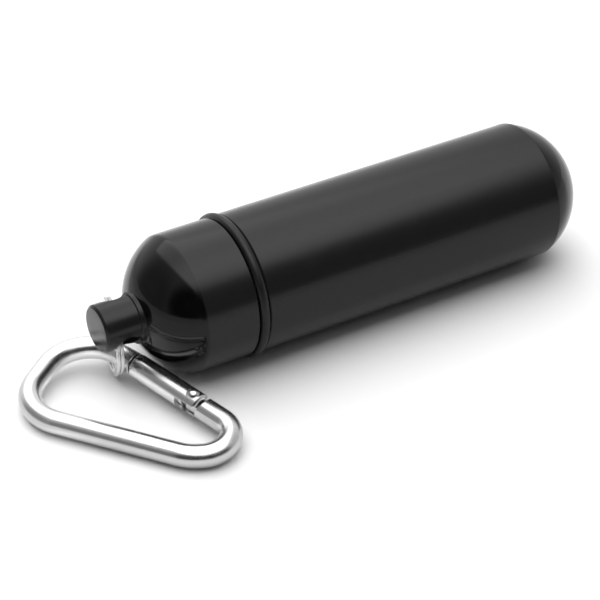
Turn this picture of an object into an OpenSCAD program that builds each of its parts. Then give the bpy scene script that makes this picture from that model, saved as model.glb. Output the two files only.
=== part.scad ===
// Keychain capsule: a screw-capped tube with a split ring and a small carabiner.
// X runs along the capsule, from the boss to the closed end, and Z is up.
// The origin is on the axis where the barrel's full width starts, just past the chamfer
// of its mouth, and the capsule lies on its side.

/* [Barrel] */
// Outer diameter of the barrel
barrel_d = 24; // [23:0.5:26]
// Straight length of the barrel at full width, up to its dome
barrel_len = 57.3; // [45:0.1:70]
// Height of the dome that closes the barrel
barrel_dome_h = 8.7; // [8:0.1:10]
// Thickness of the barrel's wall
barrel_wall = 1.9; // [1.8:0.1:2.1]
// Chamfer round the outside of the barrel's mouth
mouth_chamfer = 0.25; // [0.1:0.05:0.4]
// Slope at the start of the barrel's bore
bore_lead = 0.4; // [0.2:0.1:0.6]

/* [Cap] */
// How much narrower the cap is than the barrel
cap_step = 0.2; // [0:0.1:0.4]
// Straight length of the cap's skirt
cap_len = 9.85; // [8:0.05:12]
// Height of the cap's dome above the end of its skirt
cap_dome_h = 7.8; // [7.4:0.1:8.6]
// Radius that rounds the cap's shoulder
cap_shoulder_r = 2; // [1:0.1:2.6]
// Thickness of the cap's dome
cap_wall = 2; // [1.6:0.1:2.4]
// Chamfer round the cap's rim
rim_chamfer = 0.25; // [0.1:0.05:0.4]
// Diameter of the boss on the cap
boss_d = 8.2; // [8:0.1:9]
// How far the boss stands out past the top of the dome
boss_len = 6.2; // [6:0.1:7]
// Chamfer round the boss's face
boss_chamfer = 0.4; // [0.2:0.1:0.6]
// How far the collar at the boss's foot stands out past the boss
collar_step = 0.35; // [0.2:0.05:0.5]
// Length of that collar, measured at its own edge
collar_len = 0.75; // [0.6:0.05:1]
// Diameter of the hole across the boss
hole_d = 4.7; // [4.6:0.1:4.8]
// Distance of that hole's centre from the boss's face
hole_from_face = 4.2; // [4.1:0.1:4.4]
// Direction of the hole about the capsule's axis, in degrees from +Y
hole_angle = 222; // [220:0.5:224]
// Chamfer round each mouth of the hole
hole_chamfer = 0.5; // [0.4:0.05:0.7]

/* [Thread] */
// Pitch of the thread that draws the cap onto the barrel
thread_pitch = 1.5; // [1.3:0.1:1.6]
// Depth of the thread on the cap's spigot
thread_depth = 0.65; // [0.5:0.05:0.7]
// Turns that the cap makes from shut to free
thread_turns = 5; // [4:1:5]
// Clearance between the thread's crest and the barrel's bore
thread_clearance = 0.15; // [0.12:0.01:0.2]
// Wall of the cap's spigot under its thread
spigot_wall = 1.3; // [1:0.1:1.6]
// Plain stretch of the spigot at each end of its thread
thread_plain = 0.9; // [0.8:0.1:1.2]

/* [O-ring] */
// Thickness of the O-ring's section
oring_section = 1.6; // [1.5:0.05:1.8]
// How far the O-ring stands out past the barrel
oring_proud = 0.5; // [0.3:0.05:0.6]
// Clearance between the O-ring and its seat
oring_clearance = 0.1; // [0.05:0.01:0.15]

/* [Split ring] */
// Diameter of the split ring, on the middle of its wire
ring_mean_d = 12.6; // [12.4:0.1:12.8]
// Width of the ring's flat wire, across the ring
ring_wire_w = 0.8; // [0.7:0.05:0.85]
// Thickness of the ring's flat wire, along the ring's axis
ring_wire_t = 0.5; // [0.4:0.05:0.55]
// Gap between the ring's two turns
ring_gap = 0.45; // [0.42:0.01:0.5]
// How far the wire bows past the middle of the boss's hole
ring_sink = 0.52; // [0.45:0.01:0.6]
// Lean of the hanging ring below the horizontal, in degrees
ring_lean = 55.65; // [54:0.05:57]
// Turn of the ring's plane from the boss's cross plane, in degrees
ring_yaw = 13.7; // [12:0.1:15]

/* [Carabiner] */
// Diameter of the carabiner's rod
rod_d = 3.9; // [3.6:0.05:4]
// Diameter of the gate's tube
gate_d = 4.1; // [4:0.05:4.3]
// Wall of the gate's tube
gate_wall = 0.6; // [0.5:0.05:0.65]
// Length of the gate's tube
gate_len = 15.1; // [14:0.1:15.5]
// Bevel on the outer edge at both ends of the gate's tube
gate_bevel = 0.3; // [0.2:0.05:0.35]
// Length of straight rod between the nose bend and the gate
nose_straight = 3.7; // [3.2:0.1:4.2]
// Length of the spine, between the corners of the outline
spine_len = 30.9; // [30:0.1:33]
// How far the nose corner stands above the spine
nose_rise = 22.2; // [21:0.1:23]
// How far the nose corner stands in from the far corner
nose_in = 0.6; // [0:0.1:1]
// How far the heel corner stands past the end of the spine
heel_out = 12.1; // [11.8:0.1:13]
// How far the heel corner stands above the spine
heel_rise = 5.3; // [5:0.1:6]
// Bend radius at the nose
nose_r = 7.5; // [7:0.1:7.8]
// Bend radius at the far corner
far_r = 7.6; // [7:0.1:8]
// Bend radius between spine and heel
belly_r = 8.7; // [8:0.1:9]
// Bend radius at the heel
heel_r = 4.6; // [4.2:0.1:4.7]
// Direction of the spine on the ground, in degrees from +X
carabiner_turn = -52.84; // [-54:0.02:-51]
// Place on the nose bend where the ring holds the rod, in degrees of the bend
hold_angle = 14.3; // [12:0.1:16]
// Clearance between the held rod and the inside of the ring
hold_clearance = 0.537; // [0.45:0.001:0.6]
// Direction of the held rod from the ring's centre, in degrees from straight down
hold_swing = 10.12; // [9:0.01:11]

/* [Gate] */
// Angle by which the gate opens inward, in degrees
gate_travel = 25; // [15:1:28]
// Distance of the hinge rivet from the tube's end
rivet_from_end = 1.7; // [1.6:0.05:1.9]
// Diameter of the hinge rivet's shank
rivet_d = 1.4; // [1.2:0.1:1.6]
// Diameter of the rivet's heads
rivet_head_d = 2.2; // [2:0.1:2.4]
// Depth by which a rivet head is let into the tube
rivet_head_sink = 0.45; // [0.4:0.05:0.5]
// Thickness of the frame's flattened tongues
tongue_t = 1.5; // [1.3:0.05:1.6]
// Width of the frame's flattened tongues
tongue_w = 2.6; // [2.5:0.05:2.7]
// Clearance between a tongue and its slot, on each side
slot_clearance = 0.2; // [0.15:0.01:0.25]
// How far the hinge tongue reaches past the rivet
tongue_tip = 1.5; // [1.4:0.05:1.6]
// How far the hinge slot reaches past the rivet
hinge_slot = 2.5; // [2.3:0.05:2.8]
// Gap between the nose's shoulder and the shut gate
nose_gap = 0.3; // [0.25:0.01:0.35]
// Length of the nose's tongue inside the gate
nose_tongue = 2.2; // [2:0.1:2.4]
// Diameter of the latch pin
pin_d = 1; // [0.8:0.05:1.1]
// Distance of the latch pin from the tube's end
pin_from_end = 1.1; // [1:0.05:1.2]
// Play of the latch pin in its notch
pin_play = 0.15; // [0.1:0.01:0.2]
// Gap between the plunger and the tongue it presses on, at rest
plunger_gap = 0.12; // [0.1:0.01:0.15]
// Length of the plunger
plunger_len = 1.6; // [1.4:0.1:2]
// Thickness of the gate spring's wire
spring_wire = 0.3; // [0.25:0.01:0.35]
// Least pitch of the gate spring's turns while the gate stands open
spring_pitch = 0.68; // [0.65:0.01:0.72]
// Length of the tube's solid middle, which the spring bears on
plug_len = 1.5; // [1.2:0.1:2]

/* [Hidden] */
// Sides of every round shape
$fn = 96;

// One overrun serves every cut, and one small play serves every fixed pin in its hole
over = 1;
pin_fit = 0.02;
running_fit = 0.05;

// Barrel
barrel_r = barrel_d / 2;
bore_r = barrel_r - barrel_wall;
mouth_x = -mouth_chamfer;
barrel_sphere_r = (pow(barrel_r, 2) + pow(barrel_dome_h, 2)) / (2 * barrel_dome_h);
barrel_sphere_x = barrel_len + barrel_dome_h - barrel_sphere_r;

// O-ring and the gap that it fills between barrel and cap
oring_r = barrel_r + oring_proud - oring_section / 2;
neck_r = oring_r - oring_section / 2 - oring_clearance;
oring_gap = oring_section + 2 * oring_clearance;

// Cap: its rim, the line where the dome springs from the skirt, and the boss
cap_r = barrel_r - cap_step / 2;
rim_x = mouth_x - oring_gap;
cap_line_x = rim_x - cap_len;
cap_sphere_r = (pow(cap_r, 2) + pow(cap_dome_h, 2)) / (2 * cap_dome_h);
cap_sphere_x = cap_line_x - cap_dome_h + cap_sphere_r;
cap_top_x = cap_line_x - cap_dome_h;
boss_r = boss_d / 2;
face_x = cap_top_x - boss_len;
hole_r = hole_d / 2;
hole_x = face_x + hole_from_face;
// Centre of the shoulder's arc and the point where that arc meets the dome
shoulder_cr = cap_r - cap_shoulder_r;
shoulder_cx = cap_sphere_x - sqrt(pow(cap_sphere_r - cap_shoulder_r, 2) - pow(shoulder_cr, 2));
shoulder_scale = cap_sphere_r / (cap_sphere_r - cap_shoulder_r);
shoulder_tr = shoulder_cr * shoulder_scale;
shoulder_tx = cap_sphere_x + (shoulder_cx - cap_sphere_x) * shoulder_scale;
// Where the collar's edge meets the dome, and where the collar starts
collar_r = boss_r + collar_step;
collar_foot_x = cap_sphere_x - sqrt(pow(cap_sphere_r, 2) - pow(collar_r, 2));
collar_x = collar_foot_x - collar_len;

// Thread: the spigot ends where the last turn leaves the barrel
spigot_len = thread_turns * thread_pitch;
spigot_end = mouth_x + spigot_len;
crest_r = bore_r - thread_clearance;
spigot_r = crest_r - thread_depth;
spigot_bore_r = spigot_r - spigot_wall;
// Width of the ridge at its root and at its crest, as shares of the pitch, and the share of
// the spigot's wall that its root is let in by
ridge_root_share = 0.7;
ridge_crest_share = 0.25;
ridge_sink_share = 0.12;
ridge_root_r = spigot_r - spigot_wall * ridge_sink_share;
ridge_root_w = thread_pitch * ridge_root_share;
ridge_crest_w = thread_pitch * ridge_crest_share;
ridge_from = mouth_x + thread_plain + ridge_root_w / 2;
ridge_to = spigot_end - thread_plain - ridge_root_w / 2;
// Steps in one turn of the ridge
ridge_steps = 24;

// Split ring: centre, and the axes of its plane
ring_r = ring_mean_d / 2;
ring_pitch = ring_wire_t + ring_gap;
ring_hang = ring_r - ring_sink;
ring_center = [hole_x, ring_hang * cos(ring_lean), -ring_hang * sin(ring_lean)];
// Steps in one turn of the wire, steps in which it crosses from one turn to the other, the
// direction of its ends in degrees, and the sides of its section
ring_loop_rings = 24;
ring_cross_rings = 3;
ring_cross_turn = 30;
ring_sides = 6;

// Carabiner outline: corners in order, each with its bend radius. A corner is called up by
// its place in the list
far_corner = [0, 0];
belly_corner = [spine_len, 0];
heel_corner = [spine_len + heel_out, heel_rise];
nose_corner = [nose_in, nose_rise];
corners = [far_corner, belly_corner, heel_corner, nose_corner];
bends = [far_r, belly_r, heel_r, nose_r];
far = 0;
belly = 1;
heel = 2;
nose = 3;
rod_r = rod_d / 2;
// Sides of the rod's section, and degrees of bend from one ring of points to the next
rod_sides = 32;
rod_step = 8;
gate_r = gate_d / 2;
gate_bore_r = gate_r - gate_wall;
function unit(v) = v / norm(v);
function corner(i) = corners[(i + len(corners)) % len(corners)];
function toward(i, j) = unit(corner(j) - corner(i));
function half_angle(i) = acos(toward(i, i - 1) * toward(i, i + 1)) / 2;
function tangent_len(i) = bends[i] / tan(half_angle(i));
function bend_center(i) =
    corner(i) + unit(toward(i, i - 1) + toward(i, i + 1)) * bends[i] / sin(half_angle(i));
function bend_in(i) = corner(i) + toward(i, i - 1) * tangent_len(i);
function bend_out(i) = corner(i) + toward(i, i + 1) * tangent_len(i);
function direction(v) = atan2(v[1], v[0]);
function bend_start(i) = direction(bend_in(i) - bend_center(i));
function bend_sweep(i) = 180 - 2 * half_angle(i);

// Gate: distances along the straight side, from the nose corner towards the heel
nose_end = tangent_len(nose) + nose_straight;
gate_start = nose_end + nose_gap;
gate_end = gate_start + gate_len;
rivet_at = gate_end - rivet_from_end;
pin_at = gate_start + pin_from_end;
gate_side = norm(nose_corner - heel_corner);
heel_from = gate_side - tangent_len(heel);
gate_direction = direction(heel_corner - nose_corner);
slot_w = tongue_t + 2 * slot_clearance;
hinge_sweep_r = norm([rivet_from_end, gate_r]) + slot_clearance;
head_seat = gate_r - rivet_head_sink;
head_r = rivet_head_d / 2;
// Height of a rivet head's dome, as a share of the depth it is let in by
head_dome_share = 2.1;
head_dome = rivet_head_sink * head_dome_share;
head_sphere_r = (pow(head_r, 2) + pow(head_dome, 2)) / (2 * head_dome);
plunger_r = gate_bore_r - running_fit;
plunger_from = rivet_at - tongue_tip - plunger_gap;
plug_from = gate_start + pin_from_end + nose_tongue;
spring_from = plug_from + plug_len + running_fit;
spring_room = plunger_from - plunger_len - running_fit - spring_from;
// As the gate opens, a corner of the hinge tongue pushes the plunger back by this much
plunger_travel = tongue_tip * (cos(gate_travel) - 1) + tongue_w / 2 * sin(gate_travel);
spring_turns = floor((spring_room - plunger_travel - spring_wire) / spring_pitch);
spring_rise = (spring_room - spring_wire) / spring_turns;
spring_r = gate_bore_r - running_fit - spring_wire / 2;
// Steps in one turn of the spring
spring_rings = 8;

// Where the ring holds the rod: on the outline, and in space. The spine lies on the ground,
// level with the barrel's underside, so the held height sets the tilt of the whole loop
hold_turn = bend_start(nose) + hold_angle;
hold_point = bend_center(nose) + nose_r * [cos(hold_turn), sin(hold_turn)];
hold_reach = ring_r - ring_wire_w / 2 - rod_r - hold_clearance;
hold_side = hold_reach * sin(hold_swing);
hold_place = ring_center
    + [hold_side * sin(ring_yaw), hold_side * cos(ring_yaw), -hold_reach * cos(hold_swing)];
carabiner_tilt = asin((hold_place[2] + barrel_r - rod_r) / hold_point[1]);

// A tube along given ring points, closed at both ends, as one mesh with triangle faces
module swept_tube(rings) {
    count = len(rings);
    sides = len(rings[0]);
    points = [for (ring = rings) for (point = ring) point];
    walls = [for (i = [0 : count - 2]) for (j = [0 : sides - 1])
        let (a = i * sides + j, b = i * sides + (j + 1) % sides)
        for (face = [[a, b, b + sides], [a, b + sides, a + sides]]) face];
    start = [for (j = [1 : sides - 2]) [0, j + 1, j]];
    last = (count - 1) * sides;
    end = [for (j = [1 : sides - 2]) [last, last + j, last + j + 1]];
    polyhedron(points = points, faces = concat(walls, start, end), convexity = 10);
}

// A shape turned about Z is laid along X
module along_x() {
    rotate([0, 90, 0])
        children();
}

// The right half of the profile plane, from one X place to another
module half_plane(low, high, wide) {
    translate([0, low])
        square([wide, high - low]);
}

// Part of a disc on the axis, between two X places
module half_disc(center, radius, low, high) {
    intersection() {
        translate([0, center])
            circle(r = radius);
        half_plane(low, high, radius);
    }
}

module barrel_profile() {
    difference() {
        union() {
            polygon([[0, mouth_x], [barrel_r - mouth_chamfer, mouth_x], [barrel_r, 0],
                [barrel_r, barrel_len], [0, barrel_len]]);
            half_disc(barrel_sphere_x, barrel_sphere_r, barrel_len, barrel_len + barrel_dome_h);
        }
        half_plane(mouth_x - over, barrel_sphere_x, bore_r);
        intersection() {
            half_disc(barrel_sphere_x, barrel_sphere_r - barrel_wall, barrel_sphere_x,
                barrel_len + barrel_dome_h);
            half_plane(barrel_sphere_x, barrel_len + barrel_dome_h, bore_r);
        }
        polygon([[0, mouth_x - over], [bore_r + bore_lead + over, mouth_x - over],
            [bore_r, mouth_x + bore_lead], [0, mouth_x + bore_lead]]);
    }
}

module capsule_body() {
    color("#1c1c1e")
    along_x()
    rotate_extrude()
        barrel_profile();
}

// The cap's outline without its round shoulder and dome
module cap_core() {
    neck_end = mouth_x - oring_clearance;
    polygon([[0, spigot_end], [spigot_r - bore_lead, spigot_end], [spigot_r, spigot_end - bore_lead],
        [spigot_r, neck_end], [neck_r, neck_end], [neck_r, rim_x],
        [cap_r - rim_chamfer, rim_x], [cap_r, rim_x - rim_chamfer], [cap_r, shoulder_cx],
        [shoulder_cr, shoulder_cx], [shoulder_tr, shoulder_tx], [collar_r, collar_foot_x],
        [collar_r, collar_x], [boss_r, collar_x], [boss_r, face_x + boss_chamfer],
        [boss_r - boss_chamfer, face_x], [0, face_x]]);
}

function thread_ring(i) =
    let (turn = 360 * i / ridge_steps, x = ridge_from + thread_pitch * i / ridge_steps)
    [for (p = [[crest_r, -ridge_crest_w / 2], [crest_r, ridge_crest_w / 2],
            [ridge_root_r, ridge_root_w / 2], [ridge_root_r, -ridge_root_w / 2]])
        [p[0] * cos(turn), p[0] * sin(turn), x + p[1]]];
thread_coil = [for (i = [0 : floor(ridge_steps * (ridge_to - ridge_from) / thread_pitch)]) thread_ring(i)];

module cap_blank() {
    rotate_extrude()
        cap_core();
    rotate_extrude()
    translate([shoulder_cr, shoulder_cx])
        circle(r = cap_shoulder_r);
    rotate_extrude()
        half_disc(cap_sphere_x, cap_sphere_r, cap_top_x, shoulder_tx);
    swept_tube(thread_coil);
}

module cap_hollow() {
    rotate_extrude()
        half_plane(cap_sphere_x, spigot_end + over, spigot_bore_r);
    rotate_extrude()
    intersection() {
        half_disc(cap_sphere_x, cap_sphere_r - cap_wall, cap_top_x, cap_sphere_x);
        half_plane(cap_top_x, cap_sphere_x, spigot_bore_r);
    }
}

// The hole lies square to the capsule's axis
module across_boss() {
    translate([hole_x, 0, 0])
    rotate([hole_angle, 0, 0])
    rotate([-90, 0, 0])
        children();
}

module cap() {
    color("#1c1c1e")
    difference() {
        along_x()
        difference() {
            cap_blank();
            cap_hollow();
        }
        across_boss() {
            cylinder(h = 2 * (boss_r + over), r = hole_r, center = true);
            for (side = [0, 1])
                mirror([0, 0, side])
                translate([0, 0, boss_r - hole_chamfer]) {
                    cylinder(h = hole_chamfer, r1 = hole_r, r2 = hole_r + hole_chamfer);
                    translate([0, 0, hole_chamfer])
                        cylinder(h = over, r = hole_r + hole_chamfer);
                }
        }
    }
}

module o_ring() {
    color("#0c0c0c")
    translate([(rim_x + mouth_x) / 2, 0, 0])
    along_x()
    rotate_extrude()
    translate([oring_r, 0])
        circle(d = oring_section);
}

// Height of the ring's wire in its two layers, stepping over within the crossing
function ring_step(i) =
    let (done = (i - ring_loop_rings + ring_cross_rings) / ring_cross_rings)
    done <= 0 ? 0 : done >= 1 ? 1 : (1 - cos(180 * done)) / 2;
function ring_place(i) =
    let (turn = ring_cross_turn + 360 * i / ring_loop_rings, z = ring_pitch * (ring_step(i) - 0.5))
    [for (j = [0 : ring_sides - 1])
        let (a = 360 * j / ring_sides, r = ring_r + ring_wire_w / 2 * cos(a))
        [r * cos(turn), r * sin(turn), z + ring_wire_t / 2 * sin(a) / sin(360 / ring_sides)]];
ring_wire = [for (i = [0 : 2 * ring_loop_rings - ring_cross_rings]) ring_place(i)];
ring_least_gap = min([for (i = [0 : len(ring_wire) - 1], j = [0 : len(ring_wire) - 1])
    if (j - i > ring_loop_rings / 2)
    for (p = ring_wire[i], q = ring_wire[j]) norm(p - q)]);
echo("split ring, least gap to itself in mm", ring_least_gap);

// The ring's own axis lies flat, turned from the capsule's by the yaw
module in_ring_plane() {
    translate(ring_center)
    rotate([0, 0, -ring_yaw])
    rotate([90, 0, 90])
        children();
}

module split_ring() {
    color("#c8c8cc")
    in_ring_plane()
        swept_tube(ring_wire);
}

module in_carabiner_plane() {
    translate(hold_place)
    rotate([0, 0, carabiner_turn])
    rotate([carabiner_tilt, 0, 0])
    translate([-hold_point[0], -hold_point[1], 0])
        children();
}

// A frame on the gate's centre line, at a distance from the nose corner
module on_gate_line(distance) {
    translate([nose_corner[0], nose_corner[1], 0])
    rotate([0, 0, gate_direction])
    translate([distance, 0, 0])
        children();
}

// Points round the rod at a turn of a bend, and all of them from the nose round to the hinge
function rod_ring(center, radius, turn) =
    [for (j = [0 : rod_sides - 1])
        let (a = 360 * j / rod_sides, r = radius + rod_r * cos(a))
        [center[0] + r * cos(turn), center[1] + r * sin(turn), rod_r * sin(a)]];
function bend_rings(i) =
    let (steps = ceil(bend_sweep(i) / rod_step))
    [for (k = [0 : steps]) rod_ring(bend_center(i), bends[i], bend_start(i) + bend_sweep(i) * k / steps)];
function rod_rings() = concat(
    [rod_ring(bend_center(nose) + nose_straight * toward(nose, heel), nose_r, bend_start(nose))],
    bend_rings(nose), bend_rings(far), bend_rings(belly), bend_rings(heel),
    [rod_ring(bend_center(heel) + (heel_from - rivet_at) * toward(heel, nose), heel_r,
        bend_start(heel) + bend_sweep(heel))]);

// A flat plate along the gate's line, centred on it
module tongue_plate(low, high) {
    on_gate_line(low)
    translate([0, -tongue_w / 2, -tongue_t / 2])
        cube([high - low, tongue_w, tongue_t]);
}

module carabiner_frame() {
    color("#d0d0d4")
    in_carabiner_plane()
    difference() {
        union() {
            difference() {
                swept_tube(rod_rings());
                on_gate_line(rivet_at)
                    cylinder(h = 2 * (rod_r + over), r = hinge_sweep_r, center = true);
            }
            tongue_plate(rivet_at - tongue_tip, rivet_at + hinge_sweep_r + rod_r / 2);
            tongue_plate(nose_end - nose_straight / 2, gate_start + nose_tongue);
        }
        on_gate_line(rivet_at)
            cylinder(h = 2 * over + tongue_t, r = rivet_d / 2 + running_fit, center = true);
        on_gate_line(pin_at) {
            cylinder(h = 2 * over + tongue_t, r = pin_d / 2 + pin_play, center = true);
            translate([-pin_d / 2 - pin_play, -tongue_w, -tongue_t])
                cube([pin_d + 2 * pin_play, tongue_w, 2 * tongue_t]);
        }
    }
}

// The slot at the nose is open only on the loop's outer side, so the tube looks whole inside
module carabiner_gate() {
    color("#d0d0d4")
    in_carabiner_plane()
    difference() {
        on_gate_line(gate_start)
        along_x() {
            cylinder(h = gate_bevel, r1 = gate_r - gate_bevel, r2 = gate_r);
            translate([0, 0, gate_bevel])
                cylinder(h = gate_len - 2 * gate_bevel, r = gate_r);
            translate([0, 0, gate_len - gate_bevel])
                cylinder(h = gate_bevel, r1 = gate_r, r2 = gate_r - gate_bevel);
        }
        on_gate_line(gate_start - over)
        along_x()
            cylinder(h = plug_from - gate_start + over, r = gate_bore_r);
        on_gate_line(plug_from + plug_len)
        along_x()
            cylinder(h = gate_end - plug_from - plug_len + over, r = gate_bore_r);
        on_gate_line(gate_start - over)
        translate([0, -gate_bore_r, -slot_w / 2])
            cube([plug_from - gate_start + over, gate_bore_r + gate_d, slot_w]);
        on_gate_line(rivet_at - hinge_slot)
        translate([0, -gate_d, -slot_w / 2])
            cube([hinge_slot + rivet_from_end + over, 2 * gate_d, slot_w]);
        on_gate_line(rivet_at) {
            cylinder(h = 2 * (gate_r + over), r = rivet_d / 2 + pin_fit, center = true);
            for (side = [0, 1])
                mirror([0, 0, side])
                translate([0, 0, head_seat])
                    cylinder(h = gate_r, r = head_r + pin_fit);
        }
        on_gate_line(pin_at)
            cylinder(h = 2 * (gate_r + over), r = pin_d / 2 + pin_fit, center = true);
    }
}

module hinge_rivet() {
    color("#d8d8dc")
    in_carabiner_plane()
    on_gate_line(rivet_at) {
        cylinder(h = 2 * head_seat + 2 * pin_fit, r = rivet_d / 2, center = true);
        for (side = [0, 1])
            mirror([0, 0, side])
            translate([0, 0, head_seat + pin_fit])
            rotate_extrude()
                half_disc(head_dome - head_sphere_r, head_sphere_r, 0, head_dome);
    }
}

module latch_pin() {
    pin_len = 2 * sqrt(pow(gate_r, 2) - pow(pin_d / 2, 2));
    color("#d8d8dc")
    in_carabiner_plane()
    on_gate_line(pin_at)
        cylinder(h = pin_len, r = pin_d / 2, center = true);
}

module gate_plunger() {
    color("#c0c0c4")
    in_carabiner_plane()
    on_gate_line(plunger_from - plunger_len)
    along_x()
        cylinder(h = plunger_len, r = plunger_r);
}

function spring_place(i) =
    let (turn = 360 * i / spring_rings, along = spring_wire / 2 + spring_rise * i / spring_rings)
    [for (j = [0 : ring_sides - 1])
        let (a = 360 * j / ring_sides, r = spring_r + spring_wire / 2 * cos(a))
        [r * cos(turn), r * sin(turn), along + spring_wire / 2 * sin(a)]];
spring_coil = [for (i = [0 : spring_turns * spring_rings]) spring_place(i)];
spring_least_gap = min([for (i = [0 : spring_turns * spring_rings - spring_rings])
    for (p = spring_coil[i], q = spring_coil[i + spring_rings]) norm(p - q)]);
echo("gate spring, least gap to itself in mm", spring_least_gap);

module gate_spring() {
    color("#b8b8bc")
    in_carabiner_plane()
    on_gate_line(spring_from)
    along_x()
        swept_tube(spring_coil);
}

capsule_body();
cap();
o_ring();
split_ring();
carabiner_frame();
carabiner_gate();
hinge_rivet();
latch_pin();
gate_plunger();
gate_spring();
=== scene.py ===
import math

import bmesh
import bpy
from mathutils import Matrix, Vector


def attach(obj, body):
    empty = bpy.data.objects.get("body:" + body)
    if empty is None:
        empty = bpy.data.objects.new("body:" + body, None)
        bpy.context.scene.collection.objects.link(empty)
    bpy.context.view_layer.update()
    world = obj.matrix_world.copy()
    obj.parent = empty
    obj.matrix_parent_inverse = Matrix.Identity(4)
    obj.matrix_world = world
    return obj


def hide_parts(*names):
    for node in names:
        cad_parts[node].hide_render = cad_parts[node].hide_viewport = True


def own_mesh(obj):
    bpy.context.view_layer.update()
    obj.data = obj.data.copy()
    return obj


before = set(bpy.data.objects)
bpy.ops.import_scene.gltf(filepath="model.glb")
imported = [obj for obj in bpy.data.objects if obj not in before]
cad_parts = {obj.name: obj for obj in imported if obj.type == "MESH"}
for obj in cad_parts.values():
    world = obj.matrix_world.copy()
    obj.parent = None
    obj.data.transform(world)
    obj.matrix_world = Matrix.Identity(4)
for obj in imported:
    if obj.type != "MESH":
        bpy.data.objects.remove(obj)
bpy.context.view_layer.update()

# ---------------------------------------------------------------- the barrel
# The barrel is a tube drawn and turned from aluminium, closed by a dome that is a little
# flatter than a half ball, and dyed black by anodising. Its walls are satin, with faint
# lines along them, and its bore carries the thread that the cap screws into.
MM = 0.001
barrel_radius = 12.0
barrel_length = 57.3
barrel_dome = 8.7
barrel_wall = 1.9
mouth_chamfer = 0.25
mouth_at = -mouth_chamfer
bore_lead = 0.4
bore_radius = barrel_radius - barrel_wall
dome_line_ease = 0.35
edge_ease = 0.1
fine_ease = 0.08
weld_reach = 2e-7


def cap_of_ball(height, rim):
    """Radius of the ball whose cap has this height over a rim of this radius."""
    return (rim ** 2 + height ** 2) / (2 * height)


def arc(centre, radius, start, end, steps):
    """Points of an arc in the half plane beside the axis, each with no easing."""
    turns = [math.radians(start + (end - start) * i / steps) for i in range(steps + 1)]
    return [(centre[0] + radius * math.cos(t), centre[1] + radius * math.sin(t), 0) for t in turns]


def eased(outline, steps=4):
    """The outline with each corner that asks for it replaced by a small arc."""
    points = []
    for i, (x, r, ease) in enumerate(outline):
        if not ease:
            points.append((x, r))
            continue
        here = Vector((x, r))
        before = Vector(outline[i - 1][:2]) - here
        after = Vector(outline[(i + 1) % len(outline)][:2]) - here
        half = before.angle(after) / 2
        back = ease / math.tan(half)
        middle = (before.normalized() + after.normalized()).normalized() * ease / math.sin(half)
        first, last = before.normalized() * back - middle, after.normalized() * back - middle
        for k in range(steps + 1):
            points.append(tuple(here + middle + first.slerp(last, k / steps) * ease))
    return points


def mesh_of(name, shape):
    """A mesh of what was built in bmesh, which is then freed."""
    mesh = bpy.data.meshes.new(name)
    shape.to_mesh(mesh)
    shape.free()
    return mesh


def placed(name, mesh):
    """An object in the scene that holds this mesh."""
    piece = bpy.data.objects.new(name, mesh)
    bpy.context.scene.collection.objects.link(piece)
    return piece


def shifted(x, y=0, z=0):
    """A shift in mm."""
    return Matrix.Translation((x * MM, y * MM, z * MM))


def swung(degrees, axis):
    """A turn about one of the axes."""
    return Matrix.Rotation(math.radians(degrees), 4, axis)


def crisp(mesh, limit=38):
    """Smooth faces that meet in a crisp edge where they turn by more than the limit."""
    shape = bmesh.new()
    shape.from_mesh(mesh)
    bmesh.ops.remove_doubles(shape, verts=shape.verts, dist=weld_reach)
    bmesh.ops.dissolve_degenerate(shape, edges=shape.edges, dist=weld_reach)
    bmesh.ops.recalc_face_normals(shape, faces=shape.faces)
    for face in shape.faces:
        face.smooth = True
    for edge in shape.edges:
        edge.smooth = len(edge.link_faces) == 2 and edge.calc_face_angle(0) < math.radians(limit)
    shape.to_mesh(mesh)
    shape.free()


def turned(name, outline, sides, limit=38):
    """A solid turned on the X axis from its outline of X places, radii and easings, in mm."""
    shape = bmesh.new()
    rings = []
    for x, r in eased(outline):
        if r < 1e-4:
            rings.append([shape.verts.new((x * MM, 0, 0))])
            continue
        rings.append([shape.verts.new((x * MM, r * MM * math.cos(a), r * MM * math.sin(a)))
                      for a in (2 * math.pi * k / sides for k in range(sides))])
    loops = list(zip(rings, rings[1:]))
    if len(rings[0]) > 1 and len(rings[-1]) > 1:
        loops.append((rings[-1], rings[0]))
    for one, two in loops:
        for k in range(sides):
            a, b = one[k % len(one)], one[(k + 1) % len(one)]
            c, d = two[(k + 1) % len(two)], two[k % len(two)]
            corners = list(dict.fromkeys((a, b, c, d)))
            if len(corners) > 2:
                shape.faces.new(corners)
    mesh = mesh_of(name, shape)
    crisp(mesh, limit)
    return placed(name, mesh)


def true_shading(piece):
    """Large faces keep their own shading up to the small arcs along their edges."""
    weigh = piece.modifiers.new("large_faces_lead", "WEIGHTED_NORMAL")
    weigh.keep_sharp = True
    weigh.weight = 80


def group_sockets(group, inputs, outputs):
    """Sockets of a node group, as (name, kind, default) in and (name, kind) out."""
    for label, kind, value in inputs:
        group.interface.new_socket(label, in_out="INPUT", socket_type=kind).default_value = value
    for label, kind in outputs:
        group.interface.new_socket(label, in_out="OUTPUT", socket_type=kind)


def noise_bands(tree, stretch, detail, seed, label):
    """Noise on Object coordinates, stretched by a different share along each axis."""
    place = tree.nodes.new("ShaderNodeTexCoord")
    spread = tree.nodes.new("ShaderNodeMapping")
    spread.label = label
    spread.inputs["Scale"].default_value = stretch
    spread.inputs["Location"].default_value = (seed, seed * 0.7, seed * 1.3)
    noise = tree.nodes.new("ShaderNodeTexNoise")
    noise.inputs["Scale"].default_value = 1
    noise.inputs["Detail"].default_value = detail
    tree.links.new(place.outputs["Object"], spread.inputs["Vector"])
    tree.links.new(spread.outputs["Vector"], noise.inputs["Vector"])
    return noise.outputs["Fac"]


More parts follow.
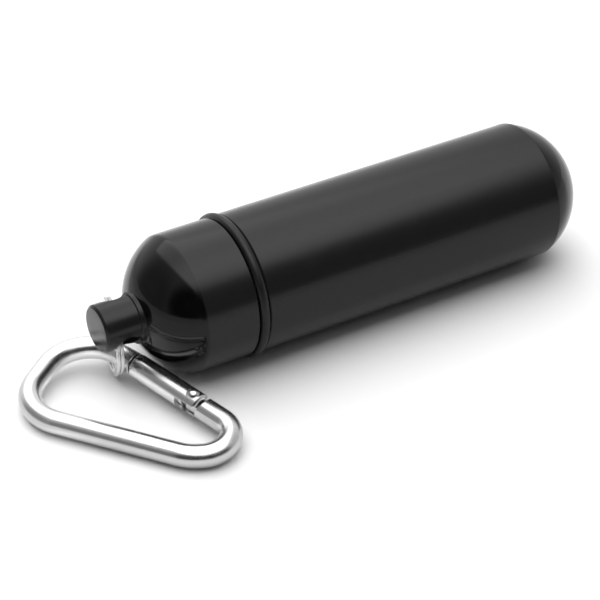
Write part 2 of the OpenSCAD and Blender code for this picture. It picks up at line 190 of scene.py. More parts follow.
def mathed(tree, operation, a, b=None, c=None):
    """A Math node whose inputs are sockets or numbers."""
    node = tree.nodes.new("ShaderNodeMath")
    node.operation = operation
    for socket, value in zip(node.inputs, (a, b, c)):
        if value is None:
            continue
        if isinstance(value, (int, float)):
            socket.default_value = value
        else:
            tree.links.new(value, socket)
    return node.outputs[0]


# The metal's grain: a colour that varies a little, a roughness with lines and faint rubs in
# it, and a height for the bump. Lines run along X where Along is 1 and round it where it is 0.
rub_from, rub_most, rub_softness = 0.56, 0.2, 0.05
speck_gain, pit_share = 6, 0.2
line_roughness, rub_roughness = 0.25, 0.3
grain = bpy.data.node_groups.new("metal_grain", "ShaderNodeTree")
group_sockets(grain, [("Colour", "NodeSocketColor", (0.01, 0.01, 0.011, 1)),
                      ("Rubbed Colour", "NodeSocketColor", (0.03, 0.03, 0.033, 1)),
                      ("Roughness", "NodeSocketFloat", 0.2), ("Along", "NodeSocketFloat", 1.0),
                      ("Line Depth", "NodeSocketFloat", 0.5), ("Rubs", "NodeSocketFloat", 0.3)],
              [("Colour", "NodeSocketColor"), ("Roughness", "NodeSocketFloat"),
               ("Height", "NodeSocketFloat")])
grain_in = grain.nodes.new("NodeGroupInput")
grain_out = grain.nodes.new("NodeGroupOutput")
along_lines = noise_bands(grain, (22, 2600, 2600), 3, 3.1, "drawn lines")
round_lines = noise_bands(grain, (9000, 60, 60), 2, 7.7, "turning lines")
specks = noise_bands(grain, (5200, 5200, 5200), 4, 1.9, "etched specks")
cloud = noise_bands(grain, (120, 160, 160), 3, 5.3, "handling")
lines = grain.nodes.new("ShaderNodeMix")
grain.links.new(grain_in.outputs["Along"], lines.inputs["Factor"])
grain.links.new(round_lines, lines.inputs["A"])
grain.links.new(along_lines, lines.inputs["B"])
handled = mathed(grain, "MAXIMUM", mathed(grain, "SUBTRACT", cloud, rub_from), 0)
worn = mathed(grain, "MULTIPLY", grain_in.outputs["Rubs"],
              mathed(grain, "SMOOTH_MIN", handled, rub_most, rub_softness))
worn = mathed(grain, "MULTIPLY", worn, mathed(grain, "MULTIPLY", specks, speck_gain))
tint = grain.nodes.new("ShaderNodeMix")
tint.data_type = "RGBA"
grain.links.new(worn, tint.inputs[0])
grain.links.new(grain_in.outputs["Colour"], tint.inputs[6])
grain.links.new(grain_in.outputs["Rubbed Colour"], tint.inputs[7])
spread_lines = mathed(grain, "MULTIPLY", mathed(grain, "SUBTRACT", lines.outputs["Result"], 0.5),
                      grain_in.outputs["Line Depth"])
unevenness = mathed(grain, "ADD", mathed(grain, "MULTIPLY", spread_lines, line_roughness),
                    mathed(grain, "MULTIPLY", worn, rub_roughness))
rough = mathed(grain, "ADD", grain_in.outputs["Roughness"], unevenness)
pits = mathed(grain, "MULTIPLY", mathed(grain, "SUBTRACT", specks, 0.5), pit_share)
height = mathed(grain, "ADD", spread_lines, pits)
grain.links.new(tint.outputs[2], grain_out.inputs["Colour"])
grain.links.new(rough, grain_out.inputs["Roughness"])
grain.links.new(height, grain_out.inputs["Height"])


def metal_finish(name, colour, rubbed, roughness, along, line_depth, rubs, bump, metallic, ior):
    """A material that takes its colour, roughness and bump from the metal's grain."""
    material = bpy.data.materials.new(name)
    material.use_nodes = True
    tree = material.node_tree
    shader = tree.nodes["Principled BSDF"]
    shader.inputs["Metallic"].default_value = metallic
    shader.inputs["IOR"].default_value = ior
    surface = tree.nodes.new("ShaderNodeGroup")
    surface.node_tree = grain
    for label, value in (("Colour", colour), ("Rubbed Colour", rubbed), ("Roughness", roughness),
                         ("Along", along), ("Line Depth", line_depth), ("Rubs", rubs)):
        surface.inputs[label].default_value = value
    relief = tree.nodes.new("ShaderNodeBump")
    relief.inputs["Strength"].default_value = bump
    relief.inputs["Distance"].default_value = 4e-6
    tree.links.new(surface.outputs["Colour"], shader.inputs["Base Color"])
    tree.links.new(surface.outputs["Roughness"], shader.inputs["Roughness"])
    tree.links.new(surface.outputs["Height"], relief.inputs["Height"])
    tree.links.new(relief.outputs["Normal"], shader.inputs["Normal"])
    return material


satin_black = metal_finish(
    "satin_black_anodising", (0.0112, 0.0112, 0.0115, 1), (0.02, 0.02, 0.021, 1),
    roughness=0.2, along=1, line_depth=0.5, rubs=0.4, bump=0.25, metallic=0, ior=1.42)
bright_black = metal_finish(
    "bright_black_anodising", (0.002, 0.002, 0.0022, 1), (0.012, 0.012, 0.013, 1),
    roughness=0.09, along=0, line_depth=0.25, rubs=0.3, bump=0.1, metallic=0, ior=1.42)


def two_finishes(piece, wall, dome, is_dome):
    """The wall's finish on every face but those that the test picks by X place and radius in mm."""
    piece.data.materials.clear()
    piece.data.materials.append(wall)
    piece.data.materials.append(dome)
    for face in piece.data.polygons:
        x, radius = face.center.x / MM, math.hypot(face.center.y, face.center.z) / MM
        face.material_index = int(is_dome(x, radius))


ball = cap_of_ball(barrel_dome, barrel_radius)
ball_at = barrel_length + barrel_dome - ball
rim_turn = math.degrees(math.asin(barrel_radius / ball))
inner_ball = ball - barrel_wall
inner_turn = math.degrees(math.asin(bore_radius / inner_ball))
barrel_outline = (
    arc((ball_at, 0), ball, 0, rim_turn, 40)[:-1]
    + [(barrel_length, barrel_radius, dome_line_ease), (0, barrel_radius, edge_ease),
       (mouth_at, barrel_radius - mouth_chamfer, fine_ease), (mouth_at, bore_radius + bore_lead, fine_ease),
       (mouth_at + bore_lead, bore_radius, fine_ease)]
    + arc((ball_at, 0), inner_ball, inner_turn, 0, 24))
barrel = turned("barrel_shell", barrel_outline, sides=256, limit=60)
two_finishes(barrel, satin_black, bright_black, lambda x, radius: x > barrel_length and radius > 0)
true_shading(barrel)

# The two threads are cut together: the barrel's ridge runs half a pitch behind the cap's
thread_pitch = 1.5
thread_depth = 0.65
thread_turns = 5
thread_clearance = 0.15
crest_radius = bore_radius - thread_clearance
spigot_radius = crest_radius - thread_depth
spigot_end = mouth_at + thread_turns * thread_pitch
thread_plain = 0.9


def piece_tree(name, inputs):
    """A Geometry Nodes tree with named inputs, as (name, kind, default), and the node they enter by."""
    tree = bpy.data.node_groups.new(name, "GeometryNodeTree")
    tree.interface.new_socket("Geometry", in_out="INPUT", socket_type="NodeSocketGeometry")
    for label, kind, value in inputs + (("Material", "Material", None),):
        socket = tree.interface.new_socket(label, in_out="INPUT", socket_type="NodeSocket" + kind)
        if value is not None:
            socket.default_value = value
    tree.interface.new_socket("Geometry", in_out="OUTPUT", socket_type="NodeSocketGeometry")
    return tree, tree.nodes.new("NodeGroupInput")


def feed(tree, source, sockets):
    """Links a group input's named sockets to the inputs of nodes."""
    for label, target in sockets:
        tree.links.new(source.outputs[label], target)


def finish_tree(tree, shape, source):
    """Every tree ends in plain geometry with its material."""
    real = tree.nodes.new("GeometryNodeRealizeInstances")
    dress = tree.nodes.new("GeometryNodeSetMaterial")
    out = tree.nodes.new("NodeGroupOutput")
    tree.links.new(shape, real.inputs["Geometry"])
    tree.links.new(real.outputs["Geometry"], dress.inputs["Geometry"])
    tree.links.new(source.outputs["Material"], dress.inputs["Material"])
    tree.links.new(dress.outputs["Geometry"], out.inputs["Geometry"])


def grown(name, tree, values, start=None, limit=38):
    """A plain mesh object made by a Geometry Nodes tree with these named values."""
    seed = start or bpy.data.objects.new(name + "_seed", bpy.data.meshes.new(name + "_seed"))
    bpy.context.scene.collection.objects.link(seed)
    grow = seed.modifiers.new("grow", "NODES")
    grow.node_group = tree
    for item in tree.interface.items_tree:
        if item.item_type == "SOCKET" and item.in_out == "INPUT" and item.name in values:
            grow[item.identifier] = values[item.name]
    ready = seed.evaluated_get(bpy.context.evaluated_depsgraph_get())
    mesh = bpy.data.meshes.new_from_object(ready)
    mesh.name = name
    seed.modifiers.clear()
    bpy.data.objects.remove(seed)
    crisp(mesh, limit)
    return placed(name, mesh)


ridge_tree, ridge_in = piece_tree("thread_ridge", (
    ("Radius", "Float", 0.0093), ("Turns", "Float", 3.0), ("Rise", "Float", 0.0045),
    ("Root Width", "Float", 0.001), ("Crest Width", "Float", 0.0004), ("Depth", "Float", 0.0006)))
helix = ridge_tree.nodes.new("GeometryNodeCurveSpiral")
helix.inputs["Resolution"].default_value = 72
upright = ridge_tree.nodes.new("GeometryNodeSetCurveNormal")
upright.mode = "Z_UP"
section = ridge_tree.nodes.new("GeometryNodeCurvePrimitiveQuadrilateral")
section.mode = "POINTS"
sweep = ridge_tree.nodes.new("GeometryNodeCurveToMesh")
sweep.inputs["Fill Caps"].default_value = True
along = ridge_tree.nodes.new("GeometryNodeSplineParameter")
feed(ridge_tree, ridge_in, [("Turns", helix.inputs["Rotations"]), ("Radius", helix.inputs["Start Radius"]),
                            ("Radius", helix.inputs["End Radius"]), ("Rise", helix.inputs["Height"])])
# The four corners of the ridge: two at its root, two at its crest
for k, (width, side, reach) in enumerate((("Root Width", -0.5, 0), ("Root Width", 0.5, 0),
                                          ("Crest Width", 0.5, 1), ("Crest Width", -0.5, 1))):
    corner = ridge_tree.nodes.new("ShaderNodeCombineXYZ")
    ridge_tree.links.new(mathed(ridge_tree, "MULTIPLY", ridge_in.outputs["Depth"], reach), corner.inputs["X"])
    ridge_tree.links.new(mathed(ridge_tree, "MULTIPLY", ridge_in.outputs[width], side), corner.inputs["Y"])
    ridge_tree.links.new(corner.outputs["Vector"], section.inputs[f"Point {k + 1}"])
# The ridge rises and fades over a fourteenth of its length at each end, from a low stub
fade_slope, stub_share = 14, 0.15
fade_in = mathed(ridge_tree, "MULTIPLY", along.outputs["Factor"], fade_slope)
fade_out = mathed(ridge_tree, "MULTIPLY", mathed(ridge_tree, "SUBTRACT", 1, along.outputs["Factor"]),
                  fade_slope)
fade = mathed(ridge_tree, "MINIMUM", mathed(ridge_tree, "MINIMUM", fade_in, fade_out), 1)
fade = mathed(ridge_tree, "MAXIMUM", fade, stub_share)
ridge_tree.links.new(fade, sweep.inputs["Scale"])
ridge_tree.links.new(helix.outputs["Curve"], upright.inputs["Curve"])
ridge_tree.links.new(upright.outputs["Curve"], sweep.inputs["Curve"])
ridge_tree.links.new(section.outputs["Curve"], sweep.inputs["Profile Curve"])
finish_tree(ridge_tree, sweep.outputs["Mesh"], ridge_in)


def thread_ridge(name, radius, depth, root, crest, low, high, phase):
    """A ridge round the X axis from one X place to another, in mm. Depth below zero points inward."""
    turns = (high - low) / thread_pitch
    piece = grown(name, ridge_tree, {
        "Radius": radius * MM, "Turns": turns, "Rise": (high - low) * MM, "Root Width": root * MM,
        "Crest Width": crest * MM, "Depth": depth * MM, "Material": bright_black})
    piece.data.transform(shifted(low) @ swung(90, "Y") @ swung(phase, "Z"))
    crisp(piece.data)
    return piece


ridge_root = thread_pitch * 0.7
ridge_crest = thread_pitch * 0.25
ridge_from = mouth_at + thread_plain + ridge_root / 2
ridge_to = spigot_end - thread_plain - ridge_root / 2
bore_ridge_root, bore_ridge_crest, bore_ridge_depth, bore_ridge_foot = 0.84, 0.3, 0.6, 0.03
barrel_thread = thread_ridge("barrel_thread", bore_radius + bore_ridge_foot, -bore_ridge_depth,
                             bore_ridge_root, bore_ridge_crest, ridge_from, ridge_to, 180)
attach(barrel, "barrel")
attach(barrel_thread, "barrel")
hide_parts("capsule_body")

# ---------------------------------------------------------------- the cap
# The cap is turned from one bar: a plain skirt, a domed shoulder and a round boss with a
# hole drilled across it for the ring. A threaded spigot on it screws into the barrel, and
# the dome is polished brighter than the skirt before the whole is anodised black.
cap_radius = 11.9
cap_rim = -2.05
cap_line = -11.9
cap_dome = 7.8
bright_past_line = 0.4
shoulder = 2.0
boss_radius = 4.1
boss_length = 6.2
boss_edge = 0.4
boss_ring_lead, boss_ring_apart, boss_rings = 0.1, 0.33, 16
face_middle = 2.0
collar_step = 0.35
collar_length = 0.75
collar_ease, collar_root_ease, collar_foot_ease = 0.15, 0.06, 0.05
rim_chamfer = 0.25
neck_radius = 10.8
neck_end = -0.35
cap_wall = 2.0
spigot_bore = 8.0
spigot_lead = 0.4
spigot_ridge_foot = 0.1
hole_radius = 2.35
hole_edge = 0.5
hole_from_face = 4.2
hole_direction = 222
hole_ease, mouth_ease = 0.12, 0.1


def settled(piece):
    """Makes what the piece's modifiers do part of its mesh."""
    bpy.context.view_layer.update()
    mesh = bpy.data.meshes.new_from_object(piece.evaluated_get(bpy.context.evaluated_depsgraph_get()))
    piece.modifiers.clear()
    piece.data = mesh


def carved(piece, tools, limit=38):
    """Cuts each tool away from the piece, and puts the tools away."""
    for tool in tools:
        cut = piece.modifiers.new("cut", "BOOLEAN")
        cut.operation = "DIFFERENCE"
        cut.solver = "EXACT"
        cut.object = tool
    settled(piece)
    for tool in tools:
        bpy.data.objects.remove(tool)
    crisp(piece.data, limit)


cap_ball = cap_of_ball(cap_dome, cap_radius)
cap_ball_at = cap_line - cap_dome + cap_ball
shoulder_r = cap_radius - shoulder
shoulder_x = cap_ball_at - math.sqrt((cap_ball - shoulder) ** 2 - shoulder_r ** 2)
shoulder_turn = math.degrees(math.atan2(shoulder_r, shoulder_x - cap_ball_at))
collar_radius = boss_radius + collar_step
collar_foot = cap_ball_at - math.sqrt(cap_ball ** 2 - collar_radius ** 2)
collar_turn = math.degrees(math.atan2(collar_radius, collar_foot - cap_ball_at))
face_at = cap_line - cap_dome - boss_length
hole_at = face_at + hole_from_face
inner_cap = cap_ball - cap_wall
inner_cap_turn = 180 - math.degrees(math.asin(spigot_bore / inner_cap))
# Rings of short faces along the boss keep its shading even where the hole is cut
boss_steps = [(face_at + boss_edge + boss_ring_lead + boss_ring_apart * k, boss_radius, 0)
              for k in range(1, boss_rings + 1)]
cap_outline = (
    [(face_at, 0, 0), (face_at, face_middle, 0), (face_at, boss_radius - boss_edge, edge_ease),
     (face_at + boss_edge, boss_radius, edge_ease)] + boss_steps
    + [(collar_foot - collar_length, boss_radius, collar_root_ease),
       (collar_foot - collar_length, collar_radius, collar_ease),
       (collar_foot, collar_radius, collar_foot_ease)]
    + arc((cap_ball_at, 0), cap_ball, collar_turn, shoulder_turn, 36)[1:]
    + arc((shoulder_x, shoulder_r), shoulder, shoulder_turn, 90, 10)[1:]
    + [(cap_rim - rim_chamfer, cap_radius, edge_ease), (cap_rim, cap_radius - rim_chamfer, fine_ease),
       (cap_rim, neck_radius, edge_ease), (neck_end, neck_radius, edge_ease),
       (neck_end, spigot_radius, edge_ease), (spigot_end - spigot_lead, spigot_radius, edge_ease),
       (spigot_end, spigot_radius - spigot_lead, fine_ease), (spigot_end, spigot_bore, edge_ease)]
    + arc((cap_ball_at, 0), inner_cap, inner_cap_turn, 180, 20))
cap = turned("cap_shell", cap_outline, sides=256, limit=60)
hole_reach = boss_radius + 0.9
mouth = boss_radius - hole_edge
mouth_radius = hole_radius + hole_edge
drill = turned("drill", [
    (-hole_reach, 0, 0), (-hole_reach, mouth_radius, 0), (-boss_radius, mouth_radius, mouth_ease),
    (-mouth, hole_radius, hole_ease), (mouth, hole_radius, hole_ease), (boss_radius, mouth_radius, mouth_ease),
    (hole_reach, mouth_radius, 0), (hole_reach, 0, 0)], sides=96)
drill.data.transform(shifted(hole_at) @ swung(hole_direction, "X") @ swung(90, "Z"))
carved(cap, [drill], limit=50)
two_finishes(cap, satin_black, bright_black,
             lambda x, radius: collar_foot < x < cap_line + bright_past_line and radius > collar_radius)
true_shading(cap)
cap_thread = thread_ridge("cap_thread", spigot_radius - spigot_ridge_foot, thread_depth + spigot_ridge_foot,
                          ridge_root, ridge_crest, ridge_from, ridge_to, 0)
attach(cap, "cap")
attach(cap_thread, "cap")
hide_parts("cap")

# ---------------------------------------------------------------- the O-ring
# A plain ring of black nitrile rubber with a round section sits on the cap's neck, in the
# gap between cap and barrel, and stands a little proud of both. Its skin is faintly matt.
oring_section = 0.8
oring_radius = 11.7
oring_at = (cap_rim + mouth_at) / 2
rubber_roughness, bloom_roughness = 0.26, 0.2
oring_outline = arc((oring_at, oring_radius), oring_section, 0, 360, 44)[:-1]
oring = turned("o_ring_seal", oring_outline, sides=224, limit=60)
rubber = bpy.data.materials.new("black_rubber")
rubber.use_nodes = True
rubber_tree = rubber.node_tree
rubber_shader = rubber_tree.nodes["Principled BSDF"]
rubber_shader.inputs["IOR"].default_value = 1.45
bloom = noise_bands(rubber_tree, (700, 700, 700), 4, 2.3, "bloom")
pores = noise_bands(rubber_tree, (9000, 9000, 9000), 2, 4.1, "moulded skin")
shade = rubber_tree.nodes.new("ShaderNodeMix")
shade.data_type = "RGBA"
shade.inputs[6].default_value = (0.004, 0.004, 0.0042, 1)
shade.inputs[7].default_value = (0.011, 0.011, 0.0115, 1)
rubber_relief = rubber_tree.nodes.new("ShaderNodeBump")
rubber_relief.inputs["Strength"].default_value = 0.3
rubber_relief.inputs["Distance"].default_value = 1e-5
rubber_tree.links.new(bloom, shade.inputs[0])
rubber_tree.links.new(shade.outputs[2], rubber_shader.inputs["Base Color"])
rubber_rough = mathed(rubber_tree, "ADD", rubber_roughness,
                      mathed(rubber_tree, "MULTIPLY", bloom, bloom_roughness))
rubber_tree.links.new(rubber_rough, rubber_shader.inputs["Roughness"])
rubber_tree.links.new(pores, rubber_relief.inputs["Height"])
rubber_tree.links.new(rubber_relief.outputs["Normal"], rubber_shader.inputs["Normal"])
oring.data.materials.append(rubber)
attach(oring, "seal")
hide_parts("o_ring")

# ---------------------------------------------------------------- the split ring
# Two close turns of flat steel wire, coiled so that they press together and stepped over
# where a key is slid on. Plated bright, it hangs from the boss's hole and holds the rod.
ring_radius = 6.3
ring_wire_wide = 0.84
ring_wire_thick = 0.6
ring_turn_gap = 0.04
ring_centre = Vector((-21.7, 3.26135, -4.772))
ring_yaw = 13.7
ring_start = 34
ring_turns = 1.9
ring_step_from, ring_step_to = 0.468, 0.53
ring_wire_corner = 0.16

wire_tree, wire_in = piece_tree("wound_wire", (
    ("Radius", "Float", 0.006), ("Turns", "Float", 1.88), ("Rise", "Float", 0.0), ("Step", "Float", 0.0006),
    ("Step From", "Float", 0.47), ("Step To", "Float", 0.53), ("Wide", "Float", 0.0008),
    ("Thick", "Float", 0.0006), ("Corner", "Float", 0.0002), ("Points Per Turn", "Int", 96)))
coil = wire_tree.nodes.new("GeometryNodeCurveSpiral")
move = wire_tree.nodes.new("GeometryNodeSetPosition")
shift = wire_tree.nodes.new("ShaderNodeCombineXYZ")
ramp = wire_tree.nodes.new("ShaderNodeMapRange")
ramp.interpolation_type = "SMOOTHSTEP"
coil_upright = wire_tree.nodes.new("GeometryNodeSetCurveNormal")
coil_upright.mode = "Z_UP"
flat = wire_tree.nodes.new("GeometryNodeCurvePrimitiveQuadrilateral")
softened = wire_tree.nodes.new("GeometryNodeFilletCurve")
softened.mode = "POLY"
softened.inputs["Count"].default_value = 3
wind = wire_tree.nodes.new("GeometryNodeCurveToMesh")
wind.inputs["Fill Caps"].default_value = True
progress = wire_tree.nodes.new("GeometryNodeSplineParameter")
feed(wire_tree, wire_in, [("Points Per Turn", coil.inputs["Resolution"]), ("Turns", coil.inputs["Rotations"]),
                          ("Radius", coil.inputs["Start Radius"]), ("Radius", coil.inputs["End Radius"]),
                          ("Rise", coil.inputs["Height"]), ("Step From", ramp.inputs["From Min"]),
                          ("Step To", ramp.inputs["From Max"]), ("Step", ramp.inputs["To Max"]),
                          ("Wide", flat.inputs["Width"]), ("Thick", flat.inputs["Height"]),
                          ("Corner", softened.inputs["Radius"])])
wire_tree.links.new(progress.outputs["Factor"], ramp.inputs["Value"])
wire_tree.links.new(ramp.outputs["Result"], shift.inputs["Z"])
wire_tree.links.new(shift.outputs["Vector"], move.inputs["Offset"])
wire_tree.links.new(coil.outputs["Curve"], move.inputs["Geometry"])
wire_tree.links.new(move.outputs["Geometry"], coil_upright.inputs["Curve"])
wire_tree.links.new(coil_upright.outputs["Curve"], wind.inputs["Curve"])
wire_tree.links.new(flat.outputs["Curve"], softened.inputs["Curve"])
wire_tree.links.new(softened.outputs["Curve"], wind.inputs["Profile Curve"])
finish_tree(wire_tree, wind.outputs["Mesh"], wire_in)

plated = metal_finish("plated_steel", (0.78, 0.78, 0.78, 1), (0.5, 0.5, 0.5, 1),
                      roughness=0.14, along=1, line_depth=0.4, rubs=0.8, bump=0.2, metallic=1, ior=1.5)
ring_step = ring_wire_thick + ring_turn_gap
split_ring = grown("split_ring_wire", wire_tree, {
    "Radius": ring_radius * MM, "Turns": ring_turns, "Rise": 0.0, "Step": ring_step * MM,
    "Step From": ring_step_from, "Step To": ring_step_to, "Wide": ring_wire_wide * MM,
    "Thick": ring_wire_thick * MM, "Corner": ring_wire_corner * MM, "Points Per Turn": 110,
    "Material": plated}, limit=50)
ring_place = Matrix.Translation(ring_centre * MM) @ swung(-ring_yaw, "Z") @ swung(90, "Z") @ swung(90, "X")
split_ring.data.transform(ring_place @ swung(ring_start, "Z") @ shifted(0, 0, -ring_step / 2))
crisp(split_ring.data, 50)
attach(split_ring, "ring")
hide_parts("split_ring")

# ---------------------------------------------------------------- the carabiner's frame
# One rod of round aluminium, bent to a pear shape and tumbled bright. Both its ends are
# pressed flat to tongues: one holds the gate's rivet, the other catches the gate's pin.
rod_radius = 1.95
corners = [Vector((0, 0)), Vector((30.9, 0)), Vector((43.0, 5.3)), Vector((0.6, 22.2))]
bend_radii = [7.6, 8.7, 4.6, 7.5]
nose_straight = 3.7
nose_gap = 0.3
gate_length = 15.1
gate_radius = 2.05
rivet_from_end = 1.7
tongue_thick = 1.5
tongue_wide = 2.6
tongue_tip = 1.5
nose_tongue = 2.2
pin_radius = 0.5
pin_from_end = 1.1
pin_play = 0.15
slot_clearance = 0.2
rivet_radius = 0.7
rivet_play = 0.05
rod_nose_ease = 0.15
hinge_bevel, catch_bevel = 0.12, 0.1
catch_lead_long, catch_lead_wide = 0.35, 0.5
tongue_in_rod = 1
cut_past = 4


def way(i, j):
    """Direction from one corner of the frame's outline to another."""
    return (corners[j % 4] - corners[i % 4]).normalized()


def half_bend(i):
    """Half of the angle inside a corner."""
    return way(i, i - 1).angle(way(i, i + 1)) / 2


def bend_reach(i):
    """Length of straight side that the bend at a corner takes up."""
    return bend_radii[i] / math.tan(half_bend(i))


def bend_points(i, step=2.5):
    """Centre-line points round the bend at a corner."""
    first = corners[i] + way(i, i - 1) * bend_reach(i)
    last = corners[i] + way(i, i + 1) * bend_reach(i)
    inward = (way(i, i - 1) + way(i, i + 1)).normalized()
    middle = corners[i] + inward * bend_radii[i] / math.sin(half_bend(i))
    first, last = first - middle, last - middle
    sweep_turn = math.pi - 2 * half_bend(i)
    count = max(2, round(math.degrees(sweep_turn) / step))
    return [middle + first.slerp(last, k / count) * bend_radii[i] for k in range(count + 1)]


nose_end = bend_reach(3) + nose_straight
gate_start = nose_end + nose_gap
gate_end = gate_start + gate_length
rivet_at = gate_end - rivet_from_end
pin_at = gate_start + pin_from_end
gate_way = way(3, 2)
gate_turn = math.atan2(gate_way.y, gate_way.x)
hinge_sweep = math.hypot(rivet_from_end, gate_radius) + slot_clearance

# Where the ring holds the rod, and how the loop lies: the spine on the ground, the nose up
hold_point = Vector((8.77694, 18.6906))
hold_place = Vector((-21.557897, 3.844276, -8.132004))
loop_turn = -52.84
loop_tilt = math.asin((hold_place.z + barrel_radius - rod_radius) / hold_point.y)
loop_place = (Matrix.Translation(hold_place * MM) @ swung(loop_turn, "Z")
              @ Matrix.Rotation(loop_tilt, 4, "X") @ shifted(-hold_point.x, -hold_point.y))
gate_place = loop_place @ shifted(corners[3].x, corners[3].y) @ Matrix.Rotation(gate_turn, 4, "Z")

rod_tree, rod_in = piece_tree("bent_rod", (("Radius", "Float", 0.002), ("Sides", "Int", 64)))
round_bar = rod_tree.nodes.new("GeometryNodeCurvePrimitiveCircle")
centre_line = rod_tree.nodes.new("GeometryNodeMeshToCurve")
taper = rod_tree.nodes.new("GeometryNodeInputNamedAttribute")
taper.data_type = "FLOAT"
taper.inputs["Name"].default_value = "share_of_radius"
draw = rod_tree.nodes.new("GeometryNodeCurveToMesh")
draw.inputs["Fill Caps"].default_value = True
feed(rod_tree, rod_in, [("Geometry", centre_line.inputs["Mesh"]), ("Radius", round_bar.inputs["Radius"]),
                        ("Sides", round_bar.inputs["Resolution"])])
rod_tree.links.new(centre_line.outputs["Curve"], draw.inputs["Curve"])
rod_tree.links.new(taper.outputs["Attribute"], draw.inputs["Scale"])
rod_tree.links.new(round_bar.outputs["Curve"], draw.inputs["Profile Curve"])
finish_tree(rod_tree, draw.outputs["Mesh"], rod_in)

polished = metal_finish("polished_aluminium", (0.93, 0.93, 0.935, 1), (0.8, 0.8, 0.81, 1),
                        roughness=0.25, along=0, line_depth=0.04, rubs=0.15, bump=0.05, metallic=1, ior=1.5)

# The centre line starts at the nose, whose edge is eased, and runs round the bends to the hinge
nose_face = corners[3] + gate_way * nose_end
line = [(nose_face - gate_way * rod_nose_ease * k / 3,
         1 - rod_nose_ease / rod_radius * (1 - math.sqrt(1 - (1 - k / 3) ** 2))) for k in range(4)]
for i in (3, 0, 1, 2):
    line += [(p, 1) for p in bend_points(i)]
line.append((corners[3] + gate_way * rivet_at, 1))
rod_path = bpy.data.meshes.new("rod_path")
rod_path.from_pydata([(place.x * MM, place.y * MM, 0) for place, share in line],
                     [(k, k + 1) for k in range(len(line) - 1)], [])
shares = rod_path.attributes.new("share_of_radius", "FLOAT", "POINT")
for slot, (place, share) in zip(shares.data, line):
    slot.value = share
rod = grown("carabiner_rod", rod_tree, {"Radius": rod_radius * MM, "Sides": 64, "Material": polished},
            start=bpy.data.objects.new("rod_line", rod_path), limit=50)
rod.data.transform(loop_place)
scoop = turned("scoop", [(-cut_past, 0, 0), (-cut_past, hinge_sweep, 0),
                         (cut_past, hinge_sweep, 0), (cut_past, 0, 0)], sides=160)
scoop.data.transform(gate_place @ shifted(rivet_at) @ swung(90, "Y"))
carved(rod, [scoop], limit=50)
true_shading(rod)


def plate(name, outline, thick, bevel, place, holes=()):
    """A flat plate with softened edges, from its outline in mm, with round holes through it."""
    shape = bmesh.new()
    floor_face = shape.faces.new([shape.verts.new((x * MM, y * MM, -thick / 2 * MM)) for x, y in outline])
    raised = bmesh.ops.extrude_face_region(shape, geom=[floor_face])["geom"]
    top = [v for v in raised if isinstance(v, bmesh.types.BMVert)]
    bmesh.ops.translate(shape, vec=(0, 0, thick * MM), verts=top)
    bmesh.ops.recalc_face_normals(shape, faces=shape.faces)
    piece = placed(name, mesh_of(name, shape))
    drills = []
    for k, (x, y, radius) in enumerate(holes):
        bit = turned(f"{name}_bit{k}", [
            (-thick, 0, 0), (-thick, radius, 0), (thick, radius, 0), (thick, 0, 0)], sides=48)
        bit.data.transform(shifted(x, y) @ swung(90, "Y"))
        drills.append(bit)
    carved(piece, drills)
    soften = piece.modifiers.new("soften", "BEVEL")
    soften.width = bevel * MM
    soften.segments = 3
    soften.limit_method = "ANGLE"
    soften.angle_limit = math.radians(40)
    settled(piece)
    crisp(piece.data, 50)
    piece.data.transform(place)
    return piece


def dressed(piece, finish):
    """Gives the whole piece one finish."""
    piece.data.materials.clear()
    piece.data.materials.append(finish)


# The hinge tongue has a round tip and runs well into the rod, the catch is notched for the pin
half_wide = tongue_wide / 2
tip_round = [(rivet_at - tongue_tip + half_wide - half_wide * math.cos(t), half_wide * math.sin(t))
             for t in (math.radians(-80 + 160 * k / 14) for k in range(15))]
tongue_root = rivet_at + hinge_sweep + tongue_in_rod
hinge_tongue = plate("hinge_tongue", tip_round + [(tongue_root, half_wide), (tongue_root, -half_wide)],
                     tongue_thick, hinge_bevel, gate_place, holes=[(rivet_at, 0, rivet_radius + rivet_play)])
catch_from = nose_end - nose_straight / 2
catch_to = gate_start + nose_tongue
notch = pin_radius + pin_play
notch_floor = [(pin_at + notch * math.sin(t), notch * math.cos(t))
               for t in (math.radians(-90 + 180 * k / 12) for k in range(13))]
lead_from, lead_side = catch_to - catch_lead_long, half_wide - catch_lead_wide
latch_tongue = plate("latch_tongue", [
    (catch_from, -half_wide), (pin_at - notch, -half_wide), *notch_floor, (pin_at + notch, -half_wide),
    (lead_from, -half_wide), (catch_to, -lead_side), (catch_to, lead_side), (lead_from, half_wide),
    (catch_from, half_wide)], tongue_thick, catch_bevel, gate_place)
for tongue in (hinge_tongue, latch_tongue):
    dressed(tongue, polished)
    true_shading(tongue)
    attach(tongue, "carabiner")
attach(rod, "carabiner")
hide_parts("carabiner_frame")

# ---------------------------------------------------------------- the gate
# A piece of bright tube, slotted at both ends so that the frame's tongues slide into it,
# drilled for the hinge rivet, whose heads sit in two spot faces, and for the latch pin.
gate_wall = 0.6
gate_bore = gate_radius - gate_wall
gate_bevel = 0.3
plug_from = gate_start + pin_from_end + nose_tongue
plug_length = 1.5
plug_to = plug_from + plug_length
hinge_slot = 2.5
slot_wide = tongue_thick + 2 * slot_clearance
head_radius = 1.1
head_sink = 0.45
head_dome = 0.945
head_seat = gate_radius - head_sink
pin_fit = 0.02
bore_ease, bevel_ease = 0.06, 0.12
slot_past = 1

